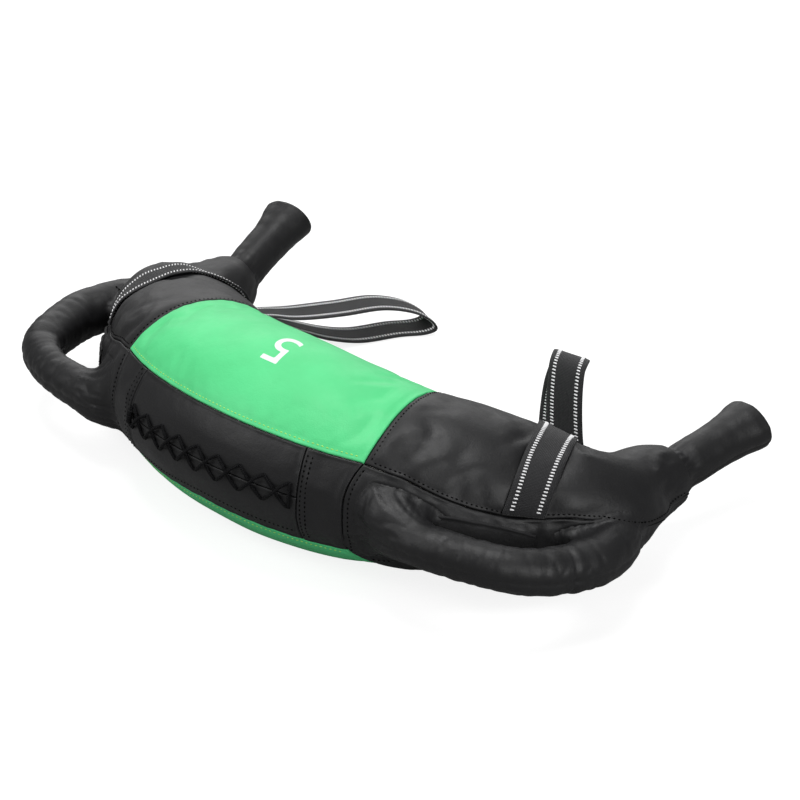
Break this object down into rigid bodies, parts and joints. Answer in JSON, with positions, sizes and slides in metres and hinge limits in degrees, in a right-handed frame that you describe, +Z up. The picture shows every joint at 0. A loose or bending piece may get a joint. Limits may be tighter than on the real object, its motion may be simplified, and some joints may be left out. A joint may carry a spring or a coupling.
{
  "type": "bulgarian bag",
  "caption": "Crescent-shaped training bag with laced front, stuffed horn grips, side handles and webbing strap loops.",
  "frame": {"origin": "on the flat patch of the underside that the bag lies on, at the middle of the crescent", "axes": "+X to the right along the crescent's chord, -Y out of the laced convex front, +Y into the hollow side with the horns, +Z up"},
  "size_m": [0.5629, 0.3786, 0.1395],
  "materials": {
    "green_cover": "satin coated artificial leather",
    "black_cover": "satin coated artificial leather",
    "webbing": "woven webbing with two rows of white stitching",
    "lace_cord": "round braided cord",
    "lining": "matt woven lining",
    "foam": "soft foam sheet",
    "sand_bag": "woven bag filled with sand",
    "fibre": "packed fibre"
  },
  "bodies": {
    "bag": {"top_centre_panel": "green_cover", "bottom_centre_panel": "green_cover", "lacing_panel_upper": "black_cover", "lacing_panel_lower": "black_cover", "front_panel_left": "black_cover", "front_panel_right": "black_cover", "side_panel_left": "black_cover", "side_panel_right": "black_cover", "end_top_panel_left": "black_cover", "end_top_panel_right": "black_cover", "end_bottom_panel_left": "black_cover", "end_bottom_panel_right": "black_cover", "lace": "lace_cord", "lace_knot": "lace_cord", "lace_tongue": "lining", "padding_wrap": "foam", "sand_bag_centre": "sand_bag", "sand_bag_left": "sand_bag", "sand_bag_right": "sand_bag", "end_stuffing_left": "fibre", "end_stuffing_right": "fibre", "side_handle_cover_left": "black_cover", "side_handle_cover_right": "black_cover", "side_handle_core_left": "fibre", "side_handle_core_right": "fibre", "slot_gusset_left": "lining", "slot_gusset_right": "lining", "strap_upper_left": "webbing", "strap_upper_right": "webbing", "strap_lower_left": "webbing", "strap_lower_right": "webbing"},
    "horn_left": {"horn_cover_left": "black_cover", "horn_core_left": "fibre", "horn_cap_left": "black_cover"},
    "horn_right": {"horn_cover_right": "black_cover", "horn_core_right": "fibre", "horn_cap_right": "black_cover"},
    "loop_left": {"strap_loop_left": "webbing"},
    "loop_right": {"strap_loop_right": "webbing"}
  },
  "joints": [
    {"name": "horn_left_bend", "type": "hinge", "parent": "bag", "child": "horn_left", "pos_m": [-0.226, 0.177, 0.04545], "axis": [0.9871, 0.1601, 0], "range_deg": [-28, 12], "stiffness_Nm_per_rad": 2},
    {"name": "horn_right_bend", "type": "hinge", "parent": "bag", "child": "horn_right", "pos_m": [0.226, 0.177, 0.04545], "axis": [0.9871, -0.1601, 0], "range_deg": [-18, 22], "stiffness_Nm_per_rad": 2},
    {"name": "loop_left_lift", "type": "hinge", "parent": "bag", "child": "loop_left", "pos_m": [-0.16385, 0.13115, 0.05678], "axis": [0.9332, -0.2933, 0.2076], "range_deg": [0, 68]},
    {"name": "loop_right_lift", "type": "hinge", "parent": "bag", "child": "loop_right", "pos_m": [0.16385, 0.13115, 0.05678], "axis": [0.9332, 0.2933, -0.2076], "range_deg": [0, 24]}
  ]
}
